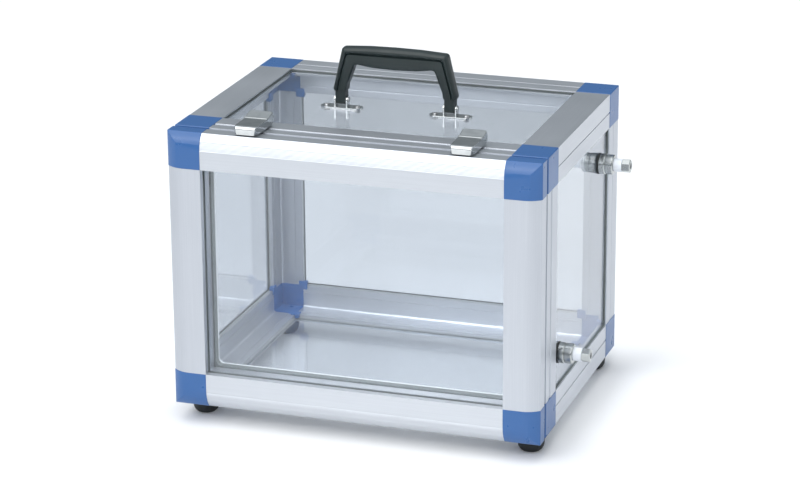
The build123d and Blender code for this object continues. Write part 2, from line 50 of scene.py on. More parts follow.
TURN_LEFT, LOOK_DOWN, ROLL = 18.51, 18.76, -0.37
camera_data = bpy.data.cameras.new("camera")
camera_data.lens = 131.0
camera_data.sensor_width = 36.0
camera = bpy.data.objects.new("camera", camera_data)
camera_turn = (
    Matrix.Rotation(math.radians(TURN_LEFT), 4, "Z")
    @ Matrix.Rotation(math.radians(90.0 - LOOK_DOWN), 4, "X")
    @ Matrix.Rotation(math.radians(ROLL), 4, "Z")
)
camera.matrix_world = Matrix.Translation(CAMERA_PLACE) @ camera_turn
bpy.context.scene.collection.objects.link(camera)
bpy.context.scene.camera = camera

# --- Floor and studio light ---
# A wide pale floor, a soft key from above and the front, white cards in front and at the right for the
# metal to mirror, a weak lamp that fills the chamber, and a grey room that brightens upwards.
bpy.context.scene.view_settings.view_transform = "Standard"
NOISE_LOW, NOISE_HIGH = 0.3, 0.7
FLOOR_REACH = 14


def wired(tree, kind, feeds=None, **settings):
    """A node with its settings made and its inputs linked or set."""
    made = tree.nodes.new(kind)
    for name, value in settings.items():
        setattr(made, name, value)
    for socket, source in (feeds or {}).items():
        if isinstance(source, bpy.types.NodeSocket):
            tree.links.new(source, made.inputs[socket])
        else:
            made.inputs[socket].default_value = source
    return made


def new_material(name):
    """An empty node material and its output node."""
    material = bpy.data.materials.new(name)
    material.use_nodes = True
    material.node_tree.nodes.clear()
    return material, material.node_tree, wired(material.node_tree, "ShaderNodeOutputMaterial")


def clouds(tree, scale, stretch=(1, 1, 1), detail=4.0):
    """Noise on Object coordinates, stretched along an axis where its scale is small."""
    place = wired(tree, "ShaderNodeTexCoord").outputs["Object"]
    mapped = wired(tree, "ShaderNodeMapping", {"Vector": place, "Scale": stretch})
    feeds = {"Vector": mapped.outputs["Vector"], "Scale": scale, "Detail": detail}
    return wired(tree, "ShaderNodeTexNoise", feeds).outputs["Fac"]


def between(tree, value, low, high):
    """A noise value's usual range spread over low to high, which may be numbers or colours."""
    if isinstance(low, tuple):
        ramp = wired(tree, "ShaderNodeValToRGB", {"Fac": value})
        ramp.color_ramp.elements[0].position = NOISE_LOW
        ramp.color_ramp.elements[1].position = NOISE_HIGH
        ramp.color_ramp.elements[0].color = (*low, 1)
        ramp.color_ramp.elements[1].color = (*high, 1)
        return ramp.outputs["Color"]
    mapped = wired(tree, "ShaderNodeMapRange", {"Value": value, 1: NOISE_LOW, 2: NOISE_HIGH, 3: low, 4: high})
    return mapped.outputs["Result"]


floor_material, nodes, output = new_material("pale_floor")
shade = between(nodes, clouds(nodes, 1.5), (0.90, 0.90, 0.91), (0.93, 0.93, 0.93))
surface = wired(nodes, "ShaderNodeBsdfPrincipled", {"Base Color": shade, "Roughness": 0.85})
nodes.links.new(surface.outputs[0], output.inputs["Surface"])
floor_mesh = bpy.data.meshes.new("floor")
floor_corners = [(x * FLOOR_REACH, y * FLOOR_REACH, 0) for x, y in ((-1, -1), (1, -1), (1, 1), (-1, 1))]
floor_mesh.from_pydata(floor_corners, [], [(0, 1, 2, 3)])
floor_mesh.materials.append(floor_material)
floor = bpy.data.objects.new("floor", floor_mesh)
bpy.context.scene.collection.objects.link(floor)

world = bpy.data.worlds.new("room")
world.use_nodes = True
world_nodes = world.node_tree
toward = wired(world_nodes, "ShaderNodeTexCoord").outputs["Generated"]
upward = wired(world_nodes, "ShaderNodeSeparateXYZ", {"Vector": toward}).outputs["Z"]
sky = wired(world_nodes, "ShaderNodeValToRGB", {"Fac": upward})
sky.color_ramp.elements[0].color = (0.16, 0.18, 0.20, 1)
sky.color_ramp.elements[1].color = (0.72, 0.76, 0.80, 1)
sky.color_ramp.elements.new(0.33).color = (0.23, 0.255, 0.27, 1)
sky.color_ramp.elements.new(0.62).color = (0.50, 0.54, 0.57, 1)
world_nodes.links.new(sky.outputs["Color"], world_nodes.nodes["Background"].inputs["Color"])
bpy.context.scene.world = world


def light(name, kind, place, aim, energy, **settings):
    """A sun or area lamp at place that points at aim."""
    data = bpy.data.lights.new(name, kind)
    data.energy = energy
    for key, value in settings.items():
        setattr(data, key, value)
    lamp = bpy.data.objects.new(name, data)
    lamp.location = place
    lamp.rotation_euler = (Vector(aim) - Vector(place)).to_track_quat("-Z", "Y").to_euler()
    bpy.context.scene.collection.objects.link(lamp)
    return lamp


light("key", "SUN", (-0.8, -1.6, 4.0), (0, 0, 0), 1.9, angle=math.radians(70))
light("front_card", "AREA", (-0.6, -4.2, 2.6), (0, 0, 0.2), 90, shape="RECTANGLE", size=4.5, size_y=2.6)
light("side_card", "AREA", (3.4, 0.6, 1.6), (0, 0, 0.2), 19, shape="RECTANGLE", size=2.4, size_y=2.0)
inner_fill = light(
    "inner_fill", "AREA", (-0.02, 0.03, 0.30), (-0.02, 0.04, 0), 0.85, shape="RECTANGLE", size=0.3, size_y=0.18
)
inner_fill.visible_camera = False
inner_fill.visible_transmission = False

# --- Body frame: twelve aluminium extrusions ---
# L-shaped bars, extruded and satin anodised, 38 mm wide on each side. Glass sits in slots at the arm
# ends, and each bar is pushed on to the tenons of the moulded corners.
corner_low, corner_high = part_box("bottom_front_left_corner")[0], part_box("top_rear_right_corner")[1]
LEFT, BODY, BASE = corner_low
RIGHT, REAR, TOP = corner_high
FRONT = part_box("door_bottom_left_corner")[0].y
FACE = 38 * MM
X, Y, Z = Vector((1, 0, 0)), Vector((0, 1, 0)), Vector((0, 0, 1))


def streaked_shade(name):
    """A node group: fine lines along one direction with broad soft clouding, as three values."""
    group = bpy.data.node_groups.new(name, "ShaderNodeTree")
    for label, kind in (("Stretch", "Vector"), ("Fineness", "Float"), ("Clouding", "Float")):
        group.interface.new_socket(label, in_out="INPUT", socket_type=f"NodeSocket{kind}")
    for label in ("Lines", "Clouds", "Height"):
        group.interface.new_socket(label, in_out="OUTPUT", socket_type="NodeSocketFloat")
    given = wired(group, "NodeGroupInput")
    place = wired(group, "ShaderNodeTexCoord").outputs["Object"]
    along = wired(group, "ShaderNodeMapping", {"Vector": place, "Scale": given.outputs["Stretch"]})
    feeds = {"Vector": along.outputs["Vector"], "Scale": given.outputs["Fineness"], "Detail": 5.0}
    lines = wired(group, "ShaderNodeTexNoise", feeds).outputs["Fac"]
    feeds = {"Vector": place, "Scale": given.outputs["Clouding"], "Detail": 3.0}
    soft = wired(group, "ShaderNodeTexNoise", feeds).outputs["Fac"]
    mixed = wired(group, "ShaderNodeMath", {0: lines, 1: soft}, operation="MULTIPLY")
    gathered = wired(group, "NodeGroupOutput")
    group.links.new(lines, gathered.inputs["Lines"])
    group.links.new(soft, gathered.inputs["Clouds"])
    group.links.new(mixed.outputs[0], gathered.inputs["Height"])
    return group


streaks = streaked_shade("streaked_shade")


def streaked_metal(name, stretch, dark, pale, rough, fineness=900.0, bump=0.02):
    """A metal with lines along one direction: drawn, extruded or brushed."""
    material, tree, result = new_material(name)
    lined = wired(tree, "ShaderNodeGroup", node_tree=streaks)
    lined.inputs["Stretch"].default_value = stretch
    lined.inputs["Fineness"].default_value = fineness
    lined.inputs["Clouding"].default_value = 14.0
    colour = between(tree, lined.outputs["Lines"], dark, pale)
    roughness = between(tree, lined.outputs["Clouds"], rough[0], rough[1])
    relief = wired(
        tree, "ShaderNodeBump", {"Strength": bump, "Distance": 0.0002, "Height": lined.outputs["Lines"]}
    )
    feeds = {"Base Color": colour, "Roughness": roughness, "Normal": relief.outputs[0], "Metallic": 1.0}
    shader = wired(tree, "ShaderNodeBsdfPrincipled", feeds)
    tree.links.new(shader.outputs[0], result.inputs["Surface"])
    return material


ALUMINIUM_TONES = ((0.575, 0.600, 0.640), (0.605, 0.630, 0.670))
# The upright bars take the same aluminium a little darker: painted shade.
UPRIGHT_PAINTED_SHADE_TONES = ((0.525, 0.550, 0.595), (0.555, 0.580, 0.625))
SATIN = (0.42, 0.48)
aluminium = {
    "x": streaked_metal("satin_aluminium_x", (0.01, 1, 1), *ALUMINIUM_TONES, SATIN),
    "y": streaked_metal("satin_aluminium_y", (1, 0.01, 1), *ALUMINIUM_TONES, SATIN),
    "z": streaked_metal("satin_aluminium_z_painted_shade", (1, 1, 0.01), *UPRIGHT_PAINTED_SHADE_TONES, SATIN),
}


def named_inputs(tree, sockets):
    """Input sockets of a node tree, by name and kind, with the geometry in and out."""
    for label, kind in (("Geometry", "Geometry"), *sockets):
        tree.interface.new_socket(label, in_out="INPUT", socket_type=f"NodeSocket{kind}")
    tree.interface.new_socket("Geometry", in_out="OUTPUT", socket_type="NodeSocketGeometry")
    return wired(tree, "NodeGroupInput").outputs, wired(tree, "NodeGroupOutput").inputs["Geometry"]


# The tree takes a section, rounds its corners, fills it, pushes it out to length and sets it in place.
extruded = bpy.data.node_groups.new("extruded_length", "GeometryNodeTree")
BAR_SOCKETS = (("Length", "Float"), ("Corner Radius", "Float"), ("Place", "Vector"), ("Turn", "Vector"))
given, made = named_inputs(extruded, (*BAR_SOCKETS, ("Finish", "Material")))
loop = wired(extruded, "GeometryNodeMeshToCurve", {"Mesh": given["Geometry"]})
feeds = {"Curve": loop.outputs[0], "Count": 2, "Radius": given["Corner Radius"], "Limit Radius": True}
rounded = wired(extruded, "GeometryNodeFilletCurve", feeds, mode="POLY")
section = wired(extruded, "GeometryNodeFillCurve", {"Curve": rounded.outputs[0]}, mode="NGONS")
feeds = {"Mesh": section.outputs[0], "Offset": (0, 0, 1), "Offset Scale": given["Length"], "Individual": False}
pushed = wired(extruded, "GeometryNodeExtrudeMesh", feeds, mode="FACES")
backed = wired(extruded, "GeometryNodeFlipFaces", {"Mesh": section.outputs[0]})
whole = wired(extruded, "GeometryNodeJoinGeometry")
extruded.links.new(pushed.outputs["Mesh"], whole.inputs[0])
extruded.links.new(backed.outputs[0], whole.inputs[0])
closed = wired(extruded, "GeometryNodeMergeByDistance", {"Geometry": whole.outputs[0], "Distance": 1e-6})
feeds = {"Geometry": closed.outputs[0], "Translation": given["Place"], "Rotation": given["Turn"]}
placed = wired(extruded, "GeometryNodeTransform", feeds)
single = wired(extruded, "GeometryNodeRealizeInstances", {"Geometry": placed.outputs[0]})
feeds = {"Geometry": single.outputs[0], "Material": given["Finish"]}
dressed = wired(extruded, "GeometryNodeSetMaterial", feeds)
extruded.links.new(dressed.outputs[0], made)


def plain_copy(thing):
    """The thing's evaluated mesh as its plain mesh, with its modifiers gone."""
    graph = bpy.context.evaluated_depsgraph_get()
    finished = bpy.data.meshes.new_from_object(thing.evaluated_get(graph), depsgraph=graph)
    thing.modifiers.clear()
    thing.data = finished
    return thing


def smoothed(thing, angle=40.0):
    """Smooth shading that leaves flat faces flat and edges over the angle sharp."""
    thing.data.shade_smooth()
    thing.data.set_sharp_from_angle(angle=math.radians(angle))
    weighted = thing.modifiers.new("flat_faces", "WEIGHTED_NORMAL")
    weighted.keep_sharp = True
    weighted.weight = 90
    return plain_copy(thing)


def shaped(name, mesh):
    """A scene object for a mesh."""
    thing = bpy.data.objects.new(name, mesh)
    bpy.context.scene.collection.objects.link(thing)
    return thing


def grown(name, mesh, tree, values):
    """The mesh that a geometry tree makes from this one, with the tree's inputs set by identifier."""
    thing = shaped(name, mesh)
    modifier = thing.modifiers.new("tree", "NODES")
    modifier.node_group = tree
    for socket in tree.interface.items_tree:
        if socket.in_out == "INPUT" and socket.name in values:
            modifier[socket.identifier] = values[socket.name]
    return plain_copy(thing)


def outline_mesh(name, points):
    """A closed loop of edges in the local XY plane, given in millimetres."""
    mesh = bpy.data.meshes.new(name)
    count = len(points)
    edges = [(i, (i + 1) % count) for i in range(count)]
    mesh.from_pydata([(x * MM, y * MM, 0) for x, y in points], edges, [])
    return mesh


def standing(piece, body, slot, *replaced):
    """The piece rides on a body and stands for its CAD nodes. The slot is not used."""
    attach(piece, body)
    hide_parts(*replaced)
    return piece


def bar(node, points, start, first, second, length, body):
    """One extruded bar: its section's local x and y run along first and second."""
    axis = first.cross(second)
    turn = Matrix((first, second, axis)).transposed().to_euler()
    direction = "xyz"[max(range(3), key=lambda i: abs(axis[i]))]
    values = {"Length": length, "Corner Radius": 0.3 * MM, "Place": start, "Turn": tuple(turn)}
    values["Finish"] = aluminium[direction]
    piece = smoothed(grown(f"{node}_bar", outline_mesh(node, points), extruded, values))
    return standing(piece, body, "aluminium", node)


def ell(groove, second_slot):
    """Section of a body bar in mm: two arms, glass slots, a groove, lip lines and a soft inner corner."""
    face, skin, arm, bend = 38.0, 0.4, 12.0, 2.4
    slot_near, slot_far, slot_floor = 2.0, 8.4, 28.0
    lip_line = (11.2, 29.2, 30.4)
    path = [(skin, skin), (groove[0], skin), (groove[0], skin + 0.8)]
    path += [(groove[1], skin + 0.8), (groove[1], skin)]
    path += [(face, skin), (face, slot_near), (slot_floor, slot_near), (slot_floor, slot_far), (face, slot_far)]
    path += [(face, arm), (lip_line[2], arm), (lip_line[2], lip_line[0]), (lip_line[1], lip_line[0])]
    path += [(lip_line[1], arm)]
    turns = [i * math.pi / 12 for i in range(7)]
    path += [(14.4 - bend * math.sin(a), 14.4 - bend * math.cos(a)) for a in turns]
    path += [(arm, lip_line[1]), (lip_line[0], lip_line[1]), (lip_line[0], lip_line[2]), (arm, lip_line[2])]
    path += [(arm, face)]
    if second_slot:
        path += [(slot_far, face), (slot_far, slot_floor), (slot_near, slot_floor), (slot_near, face)]
    return path + [(skin, face)]


SIDE_ELL = ell((20.0, 21.2), True)
FRONT_ELL = ell((11.0, 17.5), False)
long_x, long_y, long_z = RIGHT - LEFT - 2 * FACE, REAR - BODY - 2 * FACE, TOP - BASE - 2 * FACE


def body_bar(node, points, ends, first, second):
    """A bar between two points of its outer corner line, started at the end its axis points away from."""
    a, b = Vector(ends[0]), Vector(ends[1])
    start = a if (b - a).dot(first.cross(second)) > 0 else b
    bar(node, points, start, first, second, (b - a).length, "cabinet")


for side, x, inward in (("left", LEFT, X), ("right", RIGHT, -X)):
    for level, z, upward in (("bottom", BASE, Z), ("top", TOP, -Z)):
        ends = ((x, BODY + FACE, z), (x, REAR - FACE, z))
        body_bar(f"{level}_{side}_beam", SIDE_ELL, ends, upward, inward)
    ends = ((x, REAR, BASE + FACE), (x, REAR, TOP - FACE))
    body_bar(f"rear_{side}_post", SIDE_ELL, ends, -Y, inward)
    ends = ((x, BODY, BASE + FACE), (x, BODY, TOP - FACE))
    body_bar(f"front_{side}_post", FRONT_ELL, ends, Y, inward)
for level, z, inward in (("bottom", BASE, Z), ("top", TOP, -Z)):
    ends = ((LEFT + FACE, REAR, z), (RIGHT - FACE, REAR, z))
    body_bar(f"{level}_rear_beam", SIDE_ELL, ends, -Y, inward)
    ends = ((LEFT + FACE, BODY, z), (RIGHT - FACE, BODY, z))
    body_bar(f"{level}_front_beam", FRONT_ELL, ends, Y, inward)

# --- Body corners: eight blue mouldings ---
# Injection moulded in blue plastic with soft edges. Three walls close each corner of the box, each wall
# has a square lug inside, and L tenons plug into the bars.


WELD = 2e-6


def eased(node, width, steps=2, angle=35.0):
    """A welded copy of a CAD node's mesh with its sharp edges rounded."""
    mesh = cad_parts[node].data.copy()
    work = bmesh.new()
    work.from_mesh(mesh)
    bmesh.ops.remove_doubles(work, verts=work.verts, dist=WELD)
    bmesh.ops.dissolve_limit(work, angle_limit=math.radians(0.5), verts=work.verts, edges=work.edges)
    work.to_mesh(mesh)
    work.free()
    mesh.name = f"{node}_eased"
    mesh.materials.clear()
    piece = shaped(f"{node}_eased", mesh)
    rounding = piece.modifiers.new("rounding", "BEVEL")
    rounding.width = width
    rounding.segments = steps
    rounding.limit_method = "ANGLE"
    rounding.angle_limit = math.radians(angle)
    return smoothed(plain_copy(piece))


def moulded(name, deep, bright, rough, grain, bump, index=1.5):
    """A moulded plastic or rubber: faint clouding of its colour, and a fine grain from the tool."""
    material, tree, result = new_material(name)
    colour = between(tree, clouds(tree, 22.0), deep, bright)
    roughness = between(tree, clouds(tree, 60.0), rough[0], rough[1])
    relief = wired(
        tree, "ShaderNodeBump", {"Strength": bump, "Distance": 0.0002, "Height": clouds(tree, grain, detail=2.0)}
    )
    feeds = {"Base Color": colour, "Roughness": roughness, "Normal": relief.outputs[0], "IOR": index}
    shader = wired(tree, "ShaderNodeBsdfPrincipled", feeds)
    tree.links.new(shader.outputs[0], result.inputs["Surface"])
    return material


def rounded_copy(node, width, material, body, slot, **rounding):
    """An eased copy of a CAD node in one material, on its body. The slot is not used."""
    piece = eased(node, width, **rounding)
    piece.data.materials.append(material)
    standing(piece, body, slot, node)


BLUE_TONES = ((0.021, 0.102, 0.300), (0.024, 0.107, 0.308))
blue = moulded("blue_moulding", *BLUE_TONES, (0.27, 0.31), 1800.0, 0.05, 1.55)
for level in ("bottom", "top"):
    for place in ("front", "rear"):
        for side in ("left", "right"):
            rounded_copy(f"{level}_{place}_{side}_corner", 0.5 * MM, blue, "cabinet", "blue_plastic")

# --- Glass panes ---
# Six panes of 4 mm float glass, faintly blue-grey; the two side panes are the same glass, tinted a little
# deeper as painted shade. Lamp light passes straight through, as it does through thin glass.


def float_glass(name, low, high):
    """Clear glass whose depth of colour drifts a little from low to high."""
    material, tree, result = new_material(name)
    tint = between(tree, clouds(tree, 3.0), low, high)
    ripple = wired(tree, "ShaderNodeBump", {"Strength": 0.01, "Distance": 0.001, "Height": clouds(tree, 9.0)})
    feeds = {"Base Color": tint, "Roughness": 0.0, "IOR": 1.5, "Transmission Weight": 1.0}
    feeds["Normal"] = ripple.outputs[0]
    pane = wired(tree, "ShaderNodeBsdfPrincipled", feeds)
    through = wired(tree, "ShaderNodeBsdfTransparent", {"Color": (0.96, 0.97, 0.98, 1)})
    lamp_ray = wired(tree, "ShaderNodeLightPath").outputs["Is Shadow Ray"]
    mixed = wired(tree, "ShaderNodeMixShader", {"Fac": lamp_ray, 1: pane.outputs[0], 2: through.outputs[0]})
    tree.links.new(mixed.outputs[0], result.inputs["Surface"])
    return material


glass = float_glass("float_glass", (0.74, 0.77, 0.805), (0.75, 0.78, 0.815))
# The side panes are the same glass with a deeper tint: painted shade.
side_glass_painted_shade = float_glass("side_float_glass_painted_shade", (0.645, 0.675, 0.715), (0.655, 0.685, 0.725))


def coated(material, *names):
    """CAD nodes whose shape stays take this material."""
    for name in names:
        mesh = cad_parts[name].data
        mesh.materials.clear()
        mesh.materials.append(material)


coated(glass, "rear_glass", "floor_glass", "top_glass", "door_glass")
coated(side_glass_painted_shade, "left_glass", "right_glass")

# --- Glazing rubber ---
# Extruded rubber channel round every pane: a dark lip between glass and metal, and a paler part that
# shows through the glass, where the paler tone is painted light. The port washers are black.
rubber = moulded("black_rubber", (0.007, 0.010, 0.010), (0.014, 0.017, 0.017), (0.55, 0.7), 900.0, 0.2)
LIP_REACH = 3.4 * MM  # depth in a body bar up to which the channel is dark
DOOR_SLOT_OFFSET = 6 * MM  # how much deeper the glass slot lies in a door bar
glazing = moulded("grey_glazing_rubber", (0.12, 0.14, 0.14), (0.15, 0.17, 0.17), (0.5, 0.6), 900.0, 0.1)
# The paler tone is painted light on the same rubber, used behind the glass and on the whole floor gasket.
glazing_painted_light = moulded("glazing_rubber_painted_light", (0.34, 0.37, 0.39), (0.40, 0.43, 0.45), (0.5, 0.6), 900.0, 0.1)
coated(glazing_painted_light, "floor_gasket")


def channel(node, body, depth):
    """Rubber channel whose outer lip is dark and whose part behind the glass is painted pale as light."""
    piece = eased(node, 0.08 * MM)
    piece.data.materials.append(glazing)
    piece.data.materials.append(glazing_painted_light)
    for face in piece.data.polygons:
        face.material_index = int(depth(face.center) > LIP_REACH)
    standing(piece, body, "black_rubber", node)


channel("wall_gaskets", "cabinet", lambda p: min(p.x - LEFT, RIGHT - p.x, REAR - p.y))
channel("top_gasket", "cabinet", lambda p: TOP - p.z)
channel("door_gasket", "door", lambda p: p.y - FRONT - DOOR_SLOT_OFFSET)
coated(rubber, "port_washers")

# --- Feet ---
# Four domed rubber buffers, 29 mm across and 20 mm high, pressed into the bottom corners. One is turned,
# and a tree sets it in the four places.


def turned(name, profile, steps=40):
    """A closed round body about local Z from (radius, height) pairs in millimetres, bottom to top."""
    mesh = bpy.data.meshes.new(name)
    work = bmesh.new()
    rings = []
    for radius, height in profile:
        if radius < 1e-6:
            rings.append([work.verts.new((0, 0, height * MM))])
            continue
        angles = [2 * math.pi * i / steps for i in range(steps)]
        circle = [(radius * MM * math.cos(a), radius * MM * math.sin(a), height * MM) for a in angles]
        rings.append([work.verts.new(place) for place in circle])
    for low, high in zip(rings, rings[1:]):
        for i in range(steps):
            j = (i + 1) % steps
            corners = [low[i % len(low)], low[j % len(low)], high[j % len(high)], high[i % len(high)]]
            work.faces.new(list(dict.fromkeys(corners)))
    work.to_mesh(mesh)
    work.free()
    return mesh


# The tree sets a copy of a finished part at each point, turned about an axis by a fixed random angle.
repeated = bpy.data.node_groups.new("repeated_part", "GeometryNodeTree")
COPY_SOCKETS = (("Part", "Object"), ("Tilt", "Vector"), ("Most Turn", "Float"), ("Seed", "Int"))
given, made = named_inputs(repeated, (*COPY_SOCKETS, ("Finish", "Material")))
part = wired(repeated, "GeometryNodeObjectInfo", {"Object": given["Part"]})
spots = wired(repeated, "GeometryNodeMeshToPoints", {"Mesh": given["Geometry"]})
copies = wired(
    repeated, "GeometryNodeInstanceOnPoints", {"Points": spots.outputs[0], "Instance": part.outputs["Geometry"]}
)
angle = wired(repeated, "FunctionNodeRandomValue", {"Seed": given["Seed"]}, data_type="FLOAT")
repeated.links.new(given["Most Turn"], angle.inputs[3])
about = wired(repeated, "ShaderNodeCombineXYZ", {"Z": angle.outputs[1]})
spun = wired(
    repeated, "GeometryNodeRotateInstances", {"Instances": copies.outputs[0], "Rotation": about.outputs[0]}
)
feeds = {"Instances": spun.outputs[0], "Rotation": given["Tilt"], "Local Space": False}
tilted = wired(repeated, "GeometryNodeRotateInstances", feeds)
single = wired(repeated, "GeometryNodeRealizeInstances", {"Geometry": tilted.outputs[0]})
feeds = {"Geometry": single.outputs[0], "Material": given["Finish"]}
dressed = wired(repeated, "GeometryNodeSetMaterial", feeds)
repeated.links.new(dressed.outputs[0], made)


def in_place(name, part_mesh, points, finish, tilt=(0, 0, 0), most_turn=0.0, seed=3):
    """One mesh with a copy of a part at each point."""
    source = shaped(f"{name}_part", part_mesh)
    spots = bpy.data.meshes.new(name)
    spots.from_pydata([tuple(p) for p in points], [], [])
    values = {"Part": source, "Tilt": tilt, "Most Turn": most_turn, "Seed": seed, "Finish": finish}
    piece = grown(name, spots, repeated, values)
    bpy.data.objects.remove(source)
    return smoothed(piece)


FOOT_RADIUS = 0.0145
foot = [(0, 0), (9.0, 0.0), (10.2, 0.5), (12.0, 2.2), (13.4, 4.8), (14.1, 8.0), (14.4, 11.4), (14.5, 14.0)]
foot += [(14.5, 19.2), (14.0, 19.9), (3.0, 20.0), (3.0, 27.9), (0, 27.9)]
feet_low, feet_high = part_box("feet")
foot_columns = (feet_low.x + FOOT_RADIUS, feet_high.x - FOOT_RADIUS)
foot_rows = (feet_low.y + FOOT_RADIUS, feet_high.y - FOOT_RADIUS)
spots = [(x, y, 0) for x in foot_columns for y in foot_rows]
feet = in_place("domed_feet", turned("foot", foot), spots, rubber)
standing(feet, "cabinet", "black_rubber", "feet")

# --- Door frame ---
# Four aluminium bars whose front curves back at the outer edge, with fine lengthwise ribs on the two
# rails, pushed on to four blue moulded corners.
BEND = 26.5625  # radius in mm of a front that falls back 8 mm over the outer half of the bar
HALF_WIDTH = 19.0
RIB_PITCH, LAST_RIB = 2.64, 24.2  # in degrees of the bend
RIB_HALF_DEPTH = 0.16
ARC_STEPS = 72


def door_section(ribbed):
    """Section of a door bar: local x is depth from the front, local y is width from the outer edge."""
    skin = 0.4
    radius = BEND - skin
    last = math.degrees(math.asin((HALF_WIDTH - skin) / radius))
    path = [(26.8, 37.6 + skin), (26.8, 3.2), (23.2, skin)]
    for i in range(ARC_STEPS + 1):
        turn = last * (1 - i / ARC_STEPS)
        dip = 0.0
        if ribbed and RIB_PITCH < turn < LAST_RIB:
            dip = RIB_HALF_DEPTH * (1 - math.cos(math.radians(turn * 360 / RIB_PITCH)))
        reach, lean = radius - dip, math.radians(turn)
        path.append((BEND - reach * math.cos(lean), HALF_WIDTH - reach * math.sin(lean)))
    return path + [(skin, 38.0), (8.0, 38.0), (8.0, 28.0), (14.4, 28.0), (14.4, 38.0)]


def door_bar(node, ribbed, ends, inward):
    """A door bar between two points of its outer front edge."""
    a, b = Vector(ends[0]), Vector(ends[1])
    start = a if (b - a).dot(Y.cross(inward)) > 0 else b
    bar(node, door_section(ribbed), start, Y, inward, (b - a).length, "door")


for side, x, inward in (("left", LEFT, X), ("right", RIGHT, -X)):
    door_bar(f"door_{side}_stile", False, ((x, FRONT, BASE + FACE), (x, FRONT, TOP - FACE)), inward)
for level, z, inward in (("bottom", BASE, Z), ("top", TOP, -Z)):
    door_bar(f"door_{level}_rail", True, ((LEFT + FACE, FRONT, z), (RIGHT - FACE, FRONT, z)), inward)
for level in ("bottom", "top"):
    for side in ("left", "right"):
        rounded_copy(f"door_{level}_{side}_corner", 0.5 * MM, blue, "door", "blue_plastic", angle=25.0)

# --- Door seal and dowels ---
# A silicone frame with soft corners round the body's opening, a grey sleeve with a painted highlight along its rim,
# and the steel dowels that locate the door. The same steel goes on the hinge pins and nuts.
silicone = moulded("pale_silicone", (0.17, 0.195, 0.20), (0.21, 0.235, 0.24), (0.30, 0.4), 500.0, 0.1)
tree = silicone.node_tree
shader = next(n for n in tree.nodes if n.type == "BSDF_PRINCIPLED")
place = wired(tree, "ShaderNodeTexCoord").outputs["Object"]
depth = wired(tree, "ShaderNodeSeparateXYZ", {"Vector": place}).outputs["Y"]
# A pale band on the seal's rim is a painted highlight; the silicone itself is one grey.
HIGHLIGHT_FROM, HIGHLIGHT_TO = BODY + 6.5 * MM, BODY + 7.5 * MM
feeds = {"Value": depth, 1: HIGHLIGHT_FROM, 2: HIGHLIGHT_TO, 3: 0.0, 4: 1.0}
rim = wired(tree, "ShaderNodeMapRange", feeds).outputs["Result"]
sleeve = shader.inputs["Base Color"].links[0].from_socket
feeds = {0: rim, 6: sleeve, 7: (0.80, 0.83, 0.84, 1)}
rim_highlighted = wired(tree, "ShaderNodeMix", feeds, data_type="RGBA")
tree.links.new(rim_highlighted.outputs[2], shader.inputs["Base Color"])
rounded_copy("door_seal", 0.4 * MM, silicone, "cabinet", "pale_rubber")
STEEL_TONES = ((0.42, 0.43, 0.44), (0.60, 0.61, 0.62))
steel = streaked_metal("turned_steel", (1, 1, 1), *STEEL_TONES, (0.25, 0.4), 400.0)
coated(steel, "door_dowels", "handle_nuts", "handle_pins", "latch_pins")

# --- Latches ---
# Two pressed steel covers, bright plated, that hinge between the ears of a base screwed to the top
# front bar. Each has a rolled front that drops before a keeper on the door, and a turned-up thumb tab.
CHROME_TONES = ((0.55, 0.575, 0.58), (0.65, 0.665, 0.67))
chrome = streaked_metal("bright_plate", (1, 1, 1), *CHROME_TONES, (0.08, 0.15), 120.0)
SHEET = 1.1 * MM
# depth from the door's front, height over the top, and how far the side is drawn in
LEVER_SIDE = [(8.5, 1.2, 3.2), (8.5, 6.4, 2.2), (9.0, 8.2, 1.5), (10.2, 9.4, 0.8), (12.6, 10.0, 0.2), (38.6, 10.1, 0)]
LEVER_SIDE += [(39.4, 10.9, 0), (40.6, 11.4, 0), (41.8, 11.1, 0), (42.8, 10.7, 0), (57.4, 14.2, 0)]
LEVER_SIDE += [(58.2, 12.6, 0), (59.0, 8.0, 0), (56.5, 2.2, 0), (50.0, 1.2, 0), (14.0, 1.2, 0.2)]
WALLS = 11  # strips between the two sides, from the front over the top to the tab's end


def lever_mesh(name, middle, half):
    """A pressed cover: its side view pushed across, shoulders rounded, and open underneath."""
    mesh = bpy.data.meshes.new(name)
    work = bmesh.new()
    walls = []
    for sign in (-1, 1):
        places = [(middle + sign * (half - drawn * MM), y, z) for y, z, drawn in LEVER_SIDE]
        walls.append([work.verts.new((x, FRONT + y * MM, TOP + z * MM)) for x, y, z in places])
    for i in range(WALLS):
        work.faces.new((walls[0][i], walls[0][i + 1], walls[1][i + 1], walls[1][i]))
    work.faces.new(list(reversed(walls[0])))
    work.faces.new(walls[1])
    bmesh.ops.recalc_face_normals(work, faces=work.faces)
    work.verts.ensure_lookup_table()
    tab = [e for e in work.edges if all(v.co.z > TOP + 7.5 * MM and v.co.y > FRONT + 57 * MM for v in e.verts)]
    tab = [e for e in tab if abs(e.verts[0].co.x - e.verts[1].co.x) < 1e-6 and len(e.link_faces) == 2]
    bmesh.ops.bevel(work, geom=tab, offset=3.2 * MM, segments=4, profile=0.5, affect="EDGES")
    rim = [e for e in work.edges if len(e.link_faces) == 2 and e.calc_face_angle() > math.radians(50)]
    bmesh.ops.bevel(work, geom=rim, offset=1.1 * MM, segments=3, profile=0.5, affect="EDGES")
    work.to_mesh(mesh)
    work.free()
    return mesh


